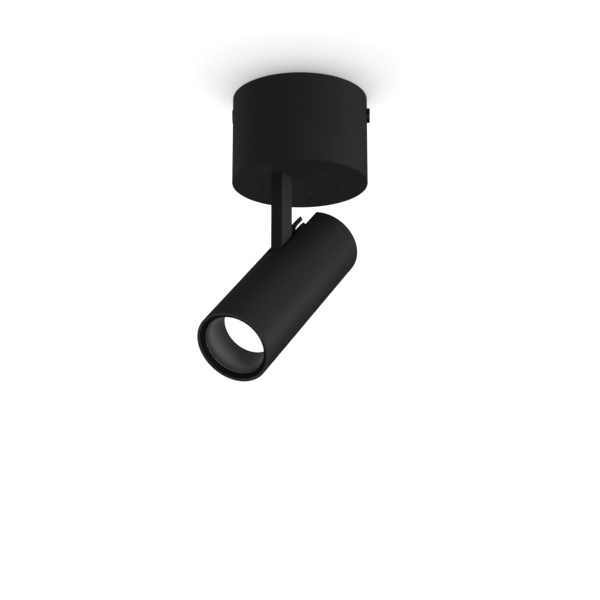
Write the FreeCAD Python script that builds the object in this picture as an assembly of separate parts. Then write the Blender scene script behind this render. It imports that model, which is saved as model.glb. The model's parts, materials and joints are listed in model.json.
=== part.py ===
"""Surface-mounted ceiling spotlight: a round canopy, a turning arm and a tilting tubular head.

The origin is the centre of the ceiling face, +Z is up and +X is the way the light points.
The head is drawn upright, its front at height 0 and its rear upwards, and then tilted.
"""
import FreeCAD
import Part
import math
import os
from FreeCAD import Vector

# Canopy: a turned cup, open towards the ceiling.
canopy_radius = 50.0
canopy_height = 67.0
canopy_wall = 2.5
canopy_floor = 4.0
canopy_edge_radius = 0.5
boss_radius = 4.0
boss_wall_gap = 3.0
boss_count = 4

# Ceiling plate with its two bent ears.
plate_thickness = 2.0
plate_clearance = 0.6
fixing_spacing = 60.0
fixing_slot_length = 9.0
fixing_slot_width = 4.6
grommet_hole_radius = 9.0
cable_radius = 5.0
grommet_flange = 2.5
grommet_drop = 3.0
ear_width = 16.0
ear_drop = 23.0
ear_wall_gap = 2.0

# Side screws that hold the canopy on the ears; the near one stands further out.
side_screw_angle = 125.5
side_screw_drop = 12.8
side_screw_radius = 2.5
side_head_radius = 5.5
side_seat_depth = 0.5
side_seat_play = 0.6
near_head_proud = 2.0
far_head_proud = 0.3
side_socket_width = 3.0
side_socket_depth = 1.2
side_nut_height = 4.0
side_nut_flats = 8.0

# Supply terminals and earth screw under the ceiling plate.
terminal_length = 25.0
terminal_width = 15.0
terminal_height = 12.0
terminal_offset = 25.0
terminal_poles = 3
terminal_pitch = 7.5
terminal_screw_radius = 1.6
terminal_screw_depth = 4.0
terminal_screw_recess = 0.8
terminal_wire_radius = 1.9
earth_offset = 25.0
earth_screw_radius = 2.0
earth_screw_recess = 0.5
earth_head_radius = 3.8
earth_head_height = 2.6
earth_washer_radius = 5.0
earth_washer_thickness = 1.0

# Driver and the plate it stands on.
standoff_height = 7.9
standoff_radius = 3.2
chassis_thickness = 1.5
chassis_wire_radius = 5.0
chassis_wire_offset = 30.0
chassis_screw_radius = 1.5
chassis_head_radius = 2.8
chassis_head_height = 2.0
chassis_screw_grip = 2.6
driver_length = 62.0
driver_width = 38.0
driver_height = 20.0
driver_wall = 1.6
driver_lid = 1.6
driver_lid_lip = 1.5
driver_tab_length = 7.0
driver_tab_width = 14.0
driver_corner_radius = 2.0
board_thickness = 1.6
board_post_height = 2.0
board_post_radius = 2.2
transformer_size = 14.0
transformer_height = 11.0
capacitor_radius = 4.0
capacitor_height = 12.0

# Turning joint in the canopy floor.
face_width = 21.3
swivel_seam = 0.4
swivel_proud = 0.5
swivel_chamfer = 0.3
flange_width = 5.2
flange_thickness = 2.0
glide_thickness = 0.45
bearing_wall = 2.8
running_gap = 0.05
spring_height = 1.05
spring_thickness = 0.4
retainer_thickness = 1.5
retainer_reach = 1.3
spring_inset = 1.5
pan_limit = 174.0
stop_play = 0.75
stop_lug_inset = 3.9
stop_lug_depth = 2.0
stop_lug_width = 2.0
stop_tab_reach = 3.6
lock_angle = -157.8
lock_screw_radius = 1.5
lock_land = 0.3
lock_recess = 0.6
lock_socket_width = 1.5

# Arm between the turning disc and the head.
arm_width = 10.0
arm_depth = 12.2
arm_side_gap = 0.1
arm_edge_radius = 0.4
arm_wire_radius = 2.0
arm_wire_exit = 9.0
pivot_drop = 63.9
arm_screw_radius = 1.5
arm_screw_head_radius = 2.6
arm_screw_head_height = 3.0
arm_screw_grip = 12.0
arm_screw_along = 3.3
arm_screw_across = 2.2

# Tilt pivot.
tilt_at_rest = 45.7
pivot_from_front = 92.9
pivot_inset = 4.9
pivot_pin_radius = 2.5
pin_end_gap = 0.2
pivot_fit = 0.05
bush_radius = 4.0
pivot_side_gap = 0.5
washer_thickness = 0.4
washer_radius = 5.0
arm_tip_gap = 0.4

# Head tube.
head_radius = 27.4
head_length = 147.4
head_wall = 3.1
head_edge_radius = 0.3
lip_depth = 1.6
lip_width = 2.3
head_slot_width = 13.4
slot_corner_radius = 2.0
slot_edge_chamfer = 0.4
slot_end_radius = 1.6

# Pivot block inside the rear of the head.
block_gap = 1.4
block_wall = 2.5
block_recess = 2.1
block_rear_wall = 3.0
block_edge_radius = 1.4
cheek_thickness = 3.5
channel_floor = 2.5
block_screw_radius = 1.5
block_screw_head_radius = 2.8
block_screw_head_depth = 1.4
block_screw_inset = 6.0
spigot_wall = 2.9
spigot_end_gap = 0.8

# Optics and light source, from the front to the heat sink.
lens_front = 26.1
lens_gasket_width = 2.25
lens_thickness = 1.5
lens_seat = 1.9
seal_width = 0.8
reflector_bulge = 0.7
reflector_wall = 1.2
reflector_flange = 2.4
reflector_lip_radius = 0.6
rear_flange_thickness = 1.2
stack_gap = 0.5
slide_fit = 0.1
seal_length = 1.5
cup_length = 6.4
holder_thickness = 4.0
holder_window_radius = 8.6
led_board_radius = 14.0
led_board_thickness = 1.6
emitter_radius = 7.0
emitter_thickness = 0.8
holder_screw_radius = 1.25
holder_screw_head_radius = 2.2
holder_screw_head_height = 1.4
holder_screw_circle = 17.5
holder_screw_angle = 45.0
holder_screw_grip = 5.0

# Heat sink.
sink_plate_thickness = 8.0
fin_length = 26.0
fin_count = 14
fin_thickness = 1.6
sink_core_radius = 8.0
sink_web = 2.0
head_grub_radius = 1.5
head_grub_length = 8.0
head_grub_recess = 0.2
head_grub_socket = 1.5

# Heights and radii that follow from the sizes above.
canopy_bore = canopy_radius - canopy_wall
face_z = -canopy_height
floor_top = face_z + canopy_floor
swivel_bore = canopy_radius - face_width
swivel_radius = swivel_bore - swivel_seam
flange_radius = swivel_radius + flange_width
glide_top = floor_top + glide_thickness
flange_low = glide_top + running_gap
flange_top = flange_low + flange_thickness
spring_low = flange_top + running_gap
boss_top = spring_low + spring_height
retainer_top = boss_top + retainer_thickness
retainer_bore = swivel_radius - retainer_reach
stop_lug_inner = swivel_radius - stop_lug_inset
stop_tab_inner = retainer_bore - stop_tab_reach
arm_offset = swivel_radius - arm_side_gap - arm_depth / 2
boss_circle = canopy_bore - boss_radius - boss_wall_gap
chassis_low = retainer_top + standoff_height
chassis_top = chassis_low + chassis_thickness
chassis_radius = boss_circle + boss_radius
disc_low = face_z - swivel_proud
lock_circle = swivel_bore + lock_screw_radius + lock_land
pivot_z = face_z - pivot_drop
ear_face = canopy_bore - ear_wall_gap
side_seat_x = canopy_radius - side_seat_depth
side_nut_x = ear_face - plate_thickness - side_nut_height

head_bore = head_radius - head_wall
stack_radius = head_bore - stack_gap
lens_radius = stack_radius - lens_gasket_width - running_gap
lens_radius_seen = lens_radius - lens_seat
reflector_mouth_radius = head_bore - seal_width - reflector_wall / 2
lens_back = lens_front + lens_thickness
cup_back = lens_back + cup_length
sink_front = cup_back + holder_thickness
sink_plate_back = sink_front + sink_plate_thickness
sink_back = sink_plate_back + fin_length
sink_radius = head_bore - slide_fit
block_radius = head_bore - block_gap
block_bore = block_radius - block_wall
block_rear = head_length - block_recess
pivot_height = block_radius - pivot_inset
spigot_radius = block_bore - running_gap
arm_slot_half = arm_width / 2 + pivot_side_gap
channel_half = arm_slot_half + cheek_thickness
arm_reach = arm_depth / 2 + arm_tip_gap
slot_front = pivot_from_front - arm_reach
slot_bottom = pivot_height - arm_reach
spigot_end = slot_front - channel_floor - spigot_end_gap

# How far a cutting shape runs past what it cuts, and the length under which an edge has none.
beyond = 5.0
no_length = 0.01


# Drawing helpers.

def cylinder(radius, low, high, x=0.0, y=0.0):
    """An upright cylinder between two heights."""
    return Part.makeCylinder(radius, high - low, Vector(x, y, low))


def ring(inner, outer, low, high, x=0.0, y=0.0):
    """An upright tube between two heights."""
    return cylinder(outer, low, high, x, y).cut(cylinder(inner, low, high, x, y))


def across(radius, start, end, x, z):
    """A cylinder along Y."""
    return Part.makeCylinder(radius, end - start, Vector(x, start, z), Vector(0, 1, 0))


def outward(radius, start, end, z=0.0, y=0.0):
    """A cylinder along X."""
    return Part.makeCylinder(radius, end - start, Vector(start, y, z), Vector(1, 0, 0))


def block(x, y, z):
    """A box from its low and high values along each axis."""
    return Part.makeBox(x[1] - x[0], y[1] - y[0], z[1] - z[0], Vector(x[0], y[0], z[0]))


def lathe(start, *steps):
    """Turn an outline of (radius, height) about Z; a pair of points in it is an arc's middle and end."""
    def at(point):
        return Vector(point[0], 0, point[1])

    edges = []
    here = start
    for step in steps + (start,):
        if isinstance(step[0], tuple):
            middle, end = step
            edges.append(Part.Arc(at(here), at(middle), at(end)).toShape())
        else:
            end = step
            edges.append(Part.LineSegment(at(here), at(end)).toShape())
        here = end
    return Part.Face(Part.Wire(edges)).revolve(Vector(0, 0, 0), Vector(0, 0, 1), 360)


def quarter(centre, radius, towards):
    """The middle and end of a quarter arc that leaves along one axis and arrives along the other."""
    half = radius * math.sqrt(0.5)
    start_r, start_z, end_r, end_z = towards
    middle = (centre[0] + half * (start_r + end_r), centre[1] + half * (start_z + end_z))
    end = (centre[0] + radius * end_r, centre[1] + radius * end_z)
    return middle, end


def turned(shape, angle, x=0.0, y=0.0):
    """A copy turned about an upright line."""
    copy = shape.copy()
    copy.rotate(Vector(x, y, 0), Vector(0, 0, 1), angle)
    return copy


def moved(shape, x=0.0, y=0.0, z=0.0):
    """A shifted copy."""
    copy = shape.copy()
    copy.translate(Vector(x, y, z))
    return copy


def around(shape, angles):
    """Copies of a shape at several angles about Z."""
    return [turned(shape, angle) for angle in angles]


def hexagon(flats, low, high):
    """A hexagonal prism along Z, measured across its flats."""
    corner = flats / math.sqrt(3)
    sides = 6
    points = []
    for index in range(sides + 1):
        angle = 2 * math.pi * index / sides
        points.append(Vector(corner * math.cos(angle), corner * math.sin(angle), low))
    return Part.Face(Part.makePolygon(points)).extrude(Vector(0, 0, high - low))


def rounded_plan(x_size, y_size, radius, low, high):
    """A box centred on Z with round upright corners."""
    body = block((-x_size / 2, x_size / 2), (-y_size / 2, y_size / 2), (low, high))
    upright = [edge for edge in body.Edges if edge.BoundBox.ZLength > no_length]
    return body.makeFillet(radius, upright)


def slot_hole(length, width, low, high):
    """A slot with round ends that runs along X."""
    half_run = (length - width) / 2
    middle = block((-half_run, half_run), (-width / 2, width / 2), (low, high))
    ends = [cylinder(width / 2, low, high, -half_run), cylinder(width / 2, low, high, half_run)]
    return middle.fuse(ends)


def along_x(shape):
    """Lay an upright shape down so that its top points along +X."""
    copy = shape.copy()
    copy.rotate(Vector(0, 0, 0), Vector(0, 1, 0), 90)
    return copy


def in_head(shape):
    """Tilt a piece of the upright head and carry it to the pivot."""
    copy = moved(shape, -pivot_height, 0, -pivot_from_front)
    copy.rotate(Vector(0, 0, 0), Vector(0, 1, 0), -tilt_at_rest)
    copy.translate(Vector(arm_offset, 0, pivot_z))
    return copy


def group(shapes):
    """Several separate solids of one kind."""
    return Part.makeCompound(shapes)


# Pattern places.

def boss_angles():
    """The angles of the posts in the canopy floor."""
    return [360.0 / boss_count * (index + 0.5) for index in range(boss_count)]


def side_screw_angles():
    """The near and the far side screw."""
    return [side_screw_angle, side_screw_angle - 180]


def arm_screw_places():
    """Two screws set across a diagonal of the arm, clear of the wire channel."""
    first = (arm_offset + arm_screw_along, arm_screw_across)
    second = (arm_offset - arm_screw_along, -arm_screw_across)
    return [first, second]


def terminal_places():
    """The X places of the terminal's poles."""
    first = -terminal_pitch * (terminal_poles - 1) / 2
    return [first + terminal_pitch * index for index in range(terminal_poles)]


# Canopy and what it holds.

def canopy_cup():
    """The cup itself, with its rounded lower edge and the bore for the turning disc."""
    edge = canopy_edge_radius
    corner = quarter((canopy_radius - edge, face_z + edge), edge, (0, -1, 1, 0))
    return lathe((swivel_bore, face_z), (canopy_radius - edge, face_z), corner, (canopy_radius, 0),
                 (canopy_bore, 0), (canopy_bore, floor_top), (swivel_bore, floor_top))


def make_canopy():
    """The cup with its posts, the seats of the side screws and the lock screw's hole."""
    posts = around(cylinder(boss_radius, floor_top, boss_top, boss_circle), boss_angles())
    shape = canopy_cup().fuse(posts)
    thread_low = boss_top - chassis_screw_grip
    thread = cylinder(chassis_screw_radius + running_gap, thread_low, boss_top, boss_circle)
    seat_radius = side_head_radius + side_seat_play
    seat = outward(seat_radius, side_seat_x, canopy_radius + beyond, -side_screw_drop)
    hole_start = canopy_bore - beyond
    hole = outward(side_screw_radius + running_gap, hole_start, canopy_radius, -side_screw_drop)
    lock_hole = cylinder(lock_screw_radius + running_gap, face_z, floor_top, lock_circle)
    cuts = around(thread, boss_angles())
    cuts += around(seat, side_screw_angles()) + around(hole, side_screw_angles())
    cuts.append(turned(lock_hole, lock_angle))
    return shape.cut(cuts)


def plate_ear():
    """One ear, bent down from the plate, with its screw hole."""
    inner = ear_face - plate_thickness
    tab = block((inner, ear_face), (-ear_width / 2, ear_width / 2), (-ear_drop, 0))
    hole = outward(side_screw_radius + running_gap, inner, ear_face, -side_screw_drop)
    return tab.cut(hole)


def make_ceiling_plate():
    """A round plate with two slotted fixing holes, the cable hole and two ears."""
    plate = cylinder(canopy_bore - plate_clearance, -plate_thickness, 0)
    trim = block((ear_face, canopy_radius), (-canopy_radius, canopy_radius), (-plate_thickness, 0))
    plate = plate.cut(around(trim, side_screw_angles()))
    plate = plate.fuse(around(plate_ear(), side_screw_angles())).removeSplitter()
    slot = slot_hole(fixing_slot_length, fixing_slot_width, -plate_thickness, 0)
    slots = [moved(slot, -fixing_spacing / 2), moved(slot, fixing_spacing / 2)]
    cable_hole = cylinder(grommet_hole_radius, -plate_thickness, 0)
    earth_hole = cylinder(earth_screw_radius + running_gap, -plate_thickness, 0, 0, earth_offset)
    return plate.cut(slots + [cable_hole, earth_hole])


def make_cable_grommet():
    """A rubber sleeve in the cable hole, with its flange below the plate."""
    flange_low_z = -plate_thickness - grommet_drop
    flange = ring(cable_radius, grommet_hole_radius + grommet_flange, flange_low_z, -plate_thickness)
    sleeve = ring(cable_radius, grommet_hole_radius - running_gap, -plate_thickness, 0)
    return flange.fuse(sleeve).removeSplitter()


def side_screw(proud):
    """A side screw drawn along X, with a hexagon socket in its head."""
    top = canopy_radius + proud
    head = outward(side_head_radius, side_seat_x, top)
    thread = outward(side_screw_radius, side_nut_x, side_seat_x)
    socket = moved(along_x(hexagon(side_socket_width, -side_socket_depth, 0)), top)
    return head.fuse(thread).cut(socket).removeSplitter()


def make_side_screws():
    """The screw that stands out on the near side and the low one opposite."""
    near = turned(moved(side_screw(near_head_proud), 0, 0, -side_screw_drop), side_screw_angles()[0])
    far = turned(moved(side_screw(far_head_proud), 0, 0, -side_screw_drop), side_screw_angles()[1])
    return near, far


def make_side_nuts():
    """A nut behind each ear."""
    nut = moved(along_x(hexagon(side_nut_flats, 0, side_nut_height)), side_nut_x)
    nut = nut.cut(outward(side_screw_radius + running_gap, side_nut_x, ear_face))
    return group(around(moved(nut, 0, 0, -side_screw_drop), side_screw_angles()))


def make_terminal_block():
    """The supply terminal, with its wire holes across it and its screw wells below."""
    top = -plate_thickness
    low = top - terminal_height
    half = terminal_width / 2
    body = block((-terminal_length / 2, terminal_length / 2), (-half, half), (low, top))
    cuts = []
    for x in terminal_places():
        cuts.append(across(terminal_wire_radius, -half, half, x, (low + top) / 2))
        cuts.append(cylinder(terminal_screw_radius + running_gap, low, low + terminal_screw_depth, x))
    return moved(body.cut(cuts), 0, -terminal_offset)


def make_terminal_screws():
    """One clamping screw in each pole."""
    low = -plate_thickness - terminal_height
    screws = []
    for x in terminal_places():
        screw = cylinder(terminal_screw_radius, low + terminal_screw_recess, low + terminal_screw_depth, x)
        screws.append(moved(screw, 0, -terminal_offset))
    return group(screws)


def make_earth_screw():
    """A pan-head screw that clamps the earth wire to the plate."""
    washer_low = -plate_thickness - earth_washer_thickness
    head = cylinder(earth_head_radius, washer_low - earth_head_height, washer_low)
    shank = cylinder(earth_screw_radius, washer_low, -earth_screw_recess)
    return moved(head.fuse(shank).removeSplitter(), 0, earth_offset)


def make_earth_washer():
    """The washer under the earth screw's head."""
    washer_low = -plate_thickness - earth_washer_thickness
    washer = ring(earth_screw_radius + running_gap, earth_washer_radius, washer_low, -plate_thickness)
    return moved(washer, 0, earth_offset)


# Turning joint.

def make_bearing_ring():
    """A ring with a low lip: the flange turns inside it and glides on the lip."""
    inner = flange_radius + running_gap
    outer = inner + bearing_wall
    shape = lathe((swivel_bore, floor_top), (outer, floor_top), (outer, flange_top),
                  (inner, flange_top), (inner, glide_top), (swivel_bore, glide_top))
    lock_hole = cylinder(lock_screw_radius + running_gap, floor_top, glide_top, lock_circle)
    return shape.cut(turned(lock_hole, lock_angle))


def make_disc_spring():
    """A shallow cone spring that presses the flange down and gives the turning joint its friction."""
    inner = retainer_bore + spring_inset
    outer = flange_radius - running_gap
    return lathe((outer - spring_thickness, spring_low), (outer, spring_low),
                 (outer, spring_low + spring_thickness), (inner + spring_thickness, boss_top),
                 (inner, boss_top), (inner, boss_top - spring_thickness))


def make_retaining_ring():
    """The ring that holds the spring down, with the tab that stops the turn."""
    shape = ring(retainer_bore, boss_circle + boss_radius, boss_top, retainer_top)
    stop_angle = math.radians(180 - pan_limit - stop_play)
    half = stop_lug_inner * math.sin(stop_angle) - stop_lug_width / 2
    tab_outer = retainer_bore + retainer_reach
    tab = block((stop_tab_inner, tab_outer), (-half, half), (boss_top, retainer_top))
    hole = cylinder(chassis_screw_radius + running_gap, boss_top, retainer_top, boss_circle)
    return shape.fuse(tab).removeSplitter().cut(around(hole, boss_angles()))


def make_lock_screw():
    """A grub screw through the canopy floor that locks the turn when it is driven in."""
    low = face_z + lock_recess
    screw = cylinder(lock_screw_radius, low, flange_low - running_gap)
    socket = hexagon(lock_socket_width, low, low + lock_socket_width)
    return turned(moved(screw.cut(socket), lock_circle), lock_angle)


def make_swivel_disc():
    """The visible disc, its inner flange, the stop lug, and the holes above the arm."""
    edge = swivel_chamfer
    disc = lathe((0, disc_low), (swivel_radius - edge, disc_low), (swivel_radius, disc_low + edge),
                 (swivel_radius, flange_low), (flange_radius, flange_low), (flange_radius, flange_top),
                 (0, flange_top))
    lug_x = (-stop_lug_inner - stop_lug_depth, -stop_lug_inner)
    lug = block(lug_x, (-stop_lug_width / 2, stop_lug_width / 2), (flange_top, retainer_top))
    cuts = [cylinder(arm_wire_radius, disc_low, flange_top, arm_offset)]
    for x, y in arm_screw_places():
        cuts.append(cylinder(arm_screw_radius + running_gap, disc_low, flange_top, x, y))
        well_low = flange_top - arm_screw_head_height
        cuts.append(cylinder(arm_screw_head_radius + running_gap, well_low, flange_top, x, y))
    return disc.fuse(lug).removeSplitter().cut(cuts)


def make_arm_screws():
    """Two cap screws, sunk in the disc, that hold the arm."""
    screws = []
    for x, y in arm_screw_places():
        head_low = flange_top - arm_screw_head_height
        head = cylinder(arm_screw_head_radius, head_low, flange_top, x, y)
        shank = cylinder(arm_screw_radius, disc_low - arm_screw_grip, head_low, x, y)
        screws.append(head.fuse(shank).removeSplitter())
    return group(screws)


def arm_bar():
    """The bar with its round lower end and softened long edges."""
    half_x = arm_depth / 2
    half_y = arm_width / 2
    bar = block((arm_offset - half_x, arm_offset + half_x), (-half_y, half_y), (pivot_z, disc_low))
    bar = bar.fuse(across(half_x, -half_y, half_y, arm_offset, pivot_z)).removeSplitter()
    long_edges = []
    for edge in bar.Edges:
        box = edge.BoundBox
        if box.YLength < no_length and box.ZLength > arm_edge_radius:
            long_edges.append(edge)
    return bar.makeFillet(arm_edge_radius, long_edges)


def make_arm():
    """The arm, hollow for the wires, with the seat of the pivot bush."""
    half_y = arm_width / 2
    exit_z = pivot_z + arm_wire_exit
    cuts = [
        across(bush_radius, -half_y, half_y, arm_offset, pivot_z),
        cylinder(arm_wire_radius, exit_z, disc_low, arm_offset),
        outward(arm_wire_radius, arm_offset - arm_depth / 2, arm_offset, exit_z),
    ]
    for x, y in arm_screw_places():
        cuts.append(cylinder(arm_screw_radius + running_gap, disc_low - arm_screw_grip, disc_low, x, y))
    return arm_bar().cut(cuts)


def make_pivot_bush():
    """The plain bearing pressed into the arm's end."""
    half_y = arm_width / 2
    bush = across(bush_radius, -half_y, half_y, arm_offset, pivot_z)
    return bush.cut(across(pivot_pin_radius + pivot_fit, -half_y, half_y, arm_offset, pivot_z))


# Driver.

def make_standoffs():
    """Spacers between the retaining ring and the chassis plate."""
    bore = chassis_screw_radius + running_gap
    spacer = ring(bore, standoff_radius, retainer_top, chassis_low, boss_circle)
    return group(around(spacer, boss_angles()))


def make_chassis_screws():
    """Long screws through the plate, the spacers and the retaining ring into the posts."""
    shank = cylinder(chassis_screw_radius, boss_top - chassis_screw_grip, chassis_top, boss_circle)
    head = cylinder(chassis_head_radius, chassis_top, chassis_top + chassis_head_height, boss_circle)
    return group(around(shank.fuse(head).removeSplitter(), boss_angles()))


def driver_screw_x():
    """How far the driver's fixing screws lie from the middle."""
    return driver_length / 2 + driver_tab_length / 2


def make_chassis_plate():
    """The plate that carries the driver, with two holes for the wires."""
    plate = cylinder(chassis_radius, chassis_low, chassis_top)
    hole = cylinder(chassis_screw_radius + running_gap, chassis_low, chassis_top, boss_circle)
    wire_hole = cylinder(chassis_wire_radius, chassis_low, chassis_top, 0, chassis_wire_offset)
    screw_hole = cylinder(chassis_screw_radius + running_gap, chassis_low, chassis_top, driver_screw_x())
    ends = [0, 180]
    return plate.cut(around(hole, boss_angles()) + around(wire_hole, ends) + around(screw_hole, ends))


def driver_post_places():
    """The corners where the circuit board rests."""
    x = driver_length / 2 - driver_wall - board_post_radius
    y = driver_width / 2 - driver_wall - board_post_radius
    return [(x, y), (-x, y), (-x, -y), (x, -y)]


def make_driver_case():
    """The open tray of the driver, with a fixing tab at each end and posts for the board."""
    top = chassis_top + driver_height - driver_lid
    inner_x = driver_length - 2 * driver_wall
    inner_y = driver_width - 2 * driver_wall
    tray = rounded_plan(driver_length, driver_width, driver_corner_radius, chassis_top, top)
    tray_floor = chassis_top + driver_wall
    inside = block((-inner_x / 2, inner_x / 2), (-inner_y / 2, inner_y / 2), (tray_floor, top))
    tray = tray.cut(inside)
    end = driver_length / 2
    tab_half = driver_tab_width / 2
    tab = block((end - driver_wall, end + driver_tab_length), (-tab_half, tab_half),
                (chassis_top, tray_floor))
    hole_radius = chassis_screw_radius + running_gap
    tab = tab.cut(cylinder(hole_radius, chassis_top, tray_floor, driver_screw_x()))
    post_top = tray_floor + board_post_height
    posts = [cylinder(board_post_radius, chassis_top, post_top, x, y) for x, y in driver_post_places()]
    return tray.fuse(around(tab, [0, 180]) + posts).removeSplitter()


def make_driver_cover():
    """The lid with a lip that enters the tray."""
    top = chassis_top + driver_height
    low = top - driver_lid
    lid = rounded_plan(driver_length, driver_width, driver_corner_radius, low, top)
    lip_x = driver_length - 2 * driver_wall - 2 * slide_fit
    lip_y = driver_width - 2 * driver_wall - 2 * slide_fit
    lip_z = (low - driver_lid_lip, low)
    lip = block((-lip_x / 2, lip_x / 2), (-lip_y / 2, lip_y / 2), lip_z)
    hollow_x = lip_x - 2 * driver_wall
    hollow_y = lip_y - 2 * driver_wall
    hollow = block((-hollow_x / 2, hollow_x / 2), (-hollow_y / 2, hollow_y / 2), lip_z)
    return lid.fuse(lip.cut(hollow)).removeSplitter()


def make_driver_board():
    """The circuit board with its transformer and two capacitors."""
    low = chassis_top + driver_wall + board_post_height
    top = low + board_thickness
    half_x = driver_length / 2 - driver_wall - slide_fit
    half_y = driver_width / 2 - driver_wall - slide_fit
    board = block((-half_x, half_x), (-half_y, half_y), (low, top))
    half = transformer_size / 2
    transformer = block((-half, half), (-half, half), (top, top + transformer_height))
    can = cylinder(capacitor_radius, top, top + capacitor_height, half + 2 * capacitor_radius)
    return board.fuse([transformer] + around(can, [0, 180])).removeSplitter()


def make_driver_screws():
    """A screw through each end tab into the chassis plate."""
    top = chassis_top + driver_wall
    shank = cylinder(chassis_screw_radius, chassis_low, top, driver_screw_x())
    head = cylinder(chassis_head_radius, top, top + chassis_head_height, driver_screw_x())
    return group(around(shank.fuse(head).removeSplitter(), [0, 180]))


# Head, drawn upright.

def head_tube():
    """The tube, with a rounded inner lip at its front and softened outer edges."""
    edge = head_edge_radius
    front_outer = quarter((head_radius - edge, edge), edge, (1, 0, 0, -1))
    rear_outer = quarter((head_radius - edge, head_length - edge), edge, (0, 1, 1, 0))
    lip_start = head_bore + lip_width
    lip_middle = (head_bore + lip_width * (1 - math.sqrt(0.5)), lip_depth * (1 - math.sqrt(0.5)))
    return lathe((head_bore, head_length), (head_radius - edge, head_length), rear_outer,
                 (head_radius, edge), front_outer, (lip_start, 0), (lip_middle, (head_bore, lip_depth)))


def head_slot():
    """The opening in the tube's upper side, from the arm to the rear, with bevelled long edges."""
    half = head_slot_width / 2
    plan = block((0, head_radius + beyond), (-half, half), (slot_front, head_length + beyond))
    corners = [edge for edge in plan.Edges
               if edge.BoundBox.XLength > head_radius and edge.BoundBox.ZMax < head_length]
    plan = plan.makeFillet(slot_corner_radius, corners)
    edge_x = math.sqrt(head_radius ** 2 - half ** 2) - slot_edge_chamfer
    bevel_points = [Vector(edge_x, -half, slot_front), Vector(edge_x, half, slot_front),
                    Vector(edge_x + beyond, half + beyond, slot_front),
                    Vector(edge_x + beyond, -half - beyond, slot_front)]
    bevel_face = Part.Face(Part.makePolygon(bevel_points + bevel_points[:1]))
    bevel = bevel_face.extrude(Vector(0, 0, head_length + beyond - slot_front))
    end = slot_end_radius
    mouth = block((0, head_radius + beyond), (-half - end, half + end), (head_length - end, head_length))
    rounds = [outward(end, 0, head_radius + beyond, head_length - end, side)
              for side in (-half - end, half + end)]
    return plan.fuse([bevel, mouth.cut(rounds)])


def make_head_shell():
    """The tube with its slot and the hole of the grub screw below."""
    hole_radius = head_grub_radius + running_gap
    hole = outward(hole_radius, head_bore - beyond, head_radius + beyond, grub_height())
    return head_tube().cut([head_slot(), turned(hole, 180)])


def grub_height():
    """The grub screw meets the middle of the heat sink's plate."""
    return sink_front + sink_plate_thickness / 2


def make_head_grub():
    """The grub screw that holds the heat sink in the tube."""
    outer = head_radius - head_grub_recess
    screw = outward(head_grub_radius, outer - head_grub_length, outer, grub_height())
    socket = moved(along_x(hexagon(head_grub_socket, -head_grub_socket, 0)), outer, 0, grub_height())
    return turned(screw.cut(socket), 180)


def block_channel():
    """The space that the walls of the arm's channel take up."""
    return block((slot_bottom - channel_floor, block_radius), (-channel_half, channel_half),
                 (slot_front - channel_floor, block_rear))


def block_screw_cut():
    """The hole and countersink of one block screw, along X."""
    height = sink_back + block_screw_inset
    hole_radius = block_screw_radius + running_gap
    hole = outward(hole_radius, spigot_radius - beyond, block_radius + beyond, height)
    sink = Part.makeCone(block_screw_radius, block_screw_head_radius, block_screw_head_depth,
                         Vector(screw_head_x() - block_screw_head_depth, 0, height), Vector(1, 0, 0))
    mouth = outward(block_screw_head_radius, screw_head_x(), block_radius + beyond, height)
    return hole.fuse([sink, mouth])


def screw_head_x():
    """A flat head lies just inside the round of the block."""
    return math.sqrt(block_radius ** 2 - block_screw_head_radius ** 2)


def block_screw_angles():
    """Screws on both sides and below, clear of the arm's channel."""
    return [90, 180, 270]


def make_pivot_block():
    """A hollow block that closes the rear of the head and holds the pin beside the arm."""
    edge = block_edge_radius
    rear_edge = quarter((block_radius - edge, block_rear - edge), edge, (1, 0, 0, 1))
    body = lathe((0, sink_back), (block_radius, sink_back), (block_radius, block_rear - edge),
                 rear_edge, (0, block_rear))
    hollow = cylinder(block_bore, sink_back, block_rear - block_rear_wall).cut(block_channel())
    slot_y = (-arm_slot_half, arm_slot_half)
    arm_slot = block((slot_bottom, block_radius), slot_y, (slot_front, block_rear))
    pin_hole = across(pivot_pin_radius + pivot_fit / 2, -block_radius, block_radius,
                      pivot_height, pivot_from_front)
    return body.cut([hollow, arm_slot, pin_hole] + around(block_screw_cut(), block_screw_angles()))


def make_block_screws():
    """Countersunk screws that join the block to the heat sink."""
    height = sink_back + block_screw_inset
    neck = screw_head_x() - block_screw_head_depth
    head = Part.makeCone(block_screw_radius, block_screw_head_radius, block_screw_head_depth,
                         Vector(neck, 0, height), Vector(1, 0, 0))
    shank = outward(block_screw_radius, spigot_radius - spigot_wall, neck, height)
    return group(around(head.fuse(shank).removeSplitter(), block_screw_angles()))


def make_pivot_pin():
    """The pin of the tilt joint, held in the block's cheeks just inside the block's round."""
    half = math.sqrt(block_radius ** 2 - (pivot_height + pivot_pin_radius) ** 2) - pin_end_gap
    return across(pivot_pin_radius, -half, half, pivot_height, pivot_from_front)


def make_friction_washers():
    """A washer on each side of the arm that keeps the tilt stiff."""
    start = arm_slot_half - washer_thickness
    washer = across(washer_radius, start, arm_slot_half, pivot_height, pivot_from_front)
    washer = washer.cut(across(pivot_pin_radius + pivot_fit, start, arm_slot_half,
                               pivot_height, pivot_from_front))
    return group([washer, moved(washer, 0, -start - arm_slot_half)])


def fin_angles():
    """Evenly spaced fins, with a gap at the top and below for the screws."""
    return [360.0 / fin_count * (index + 0.5) for index in range(fin_count)]


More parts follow.
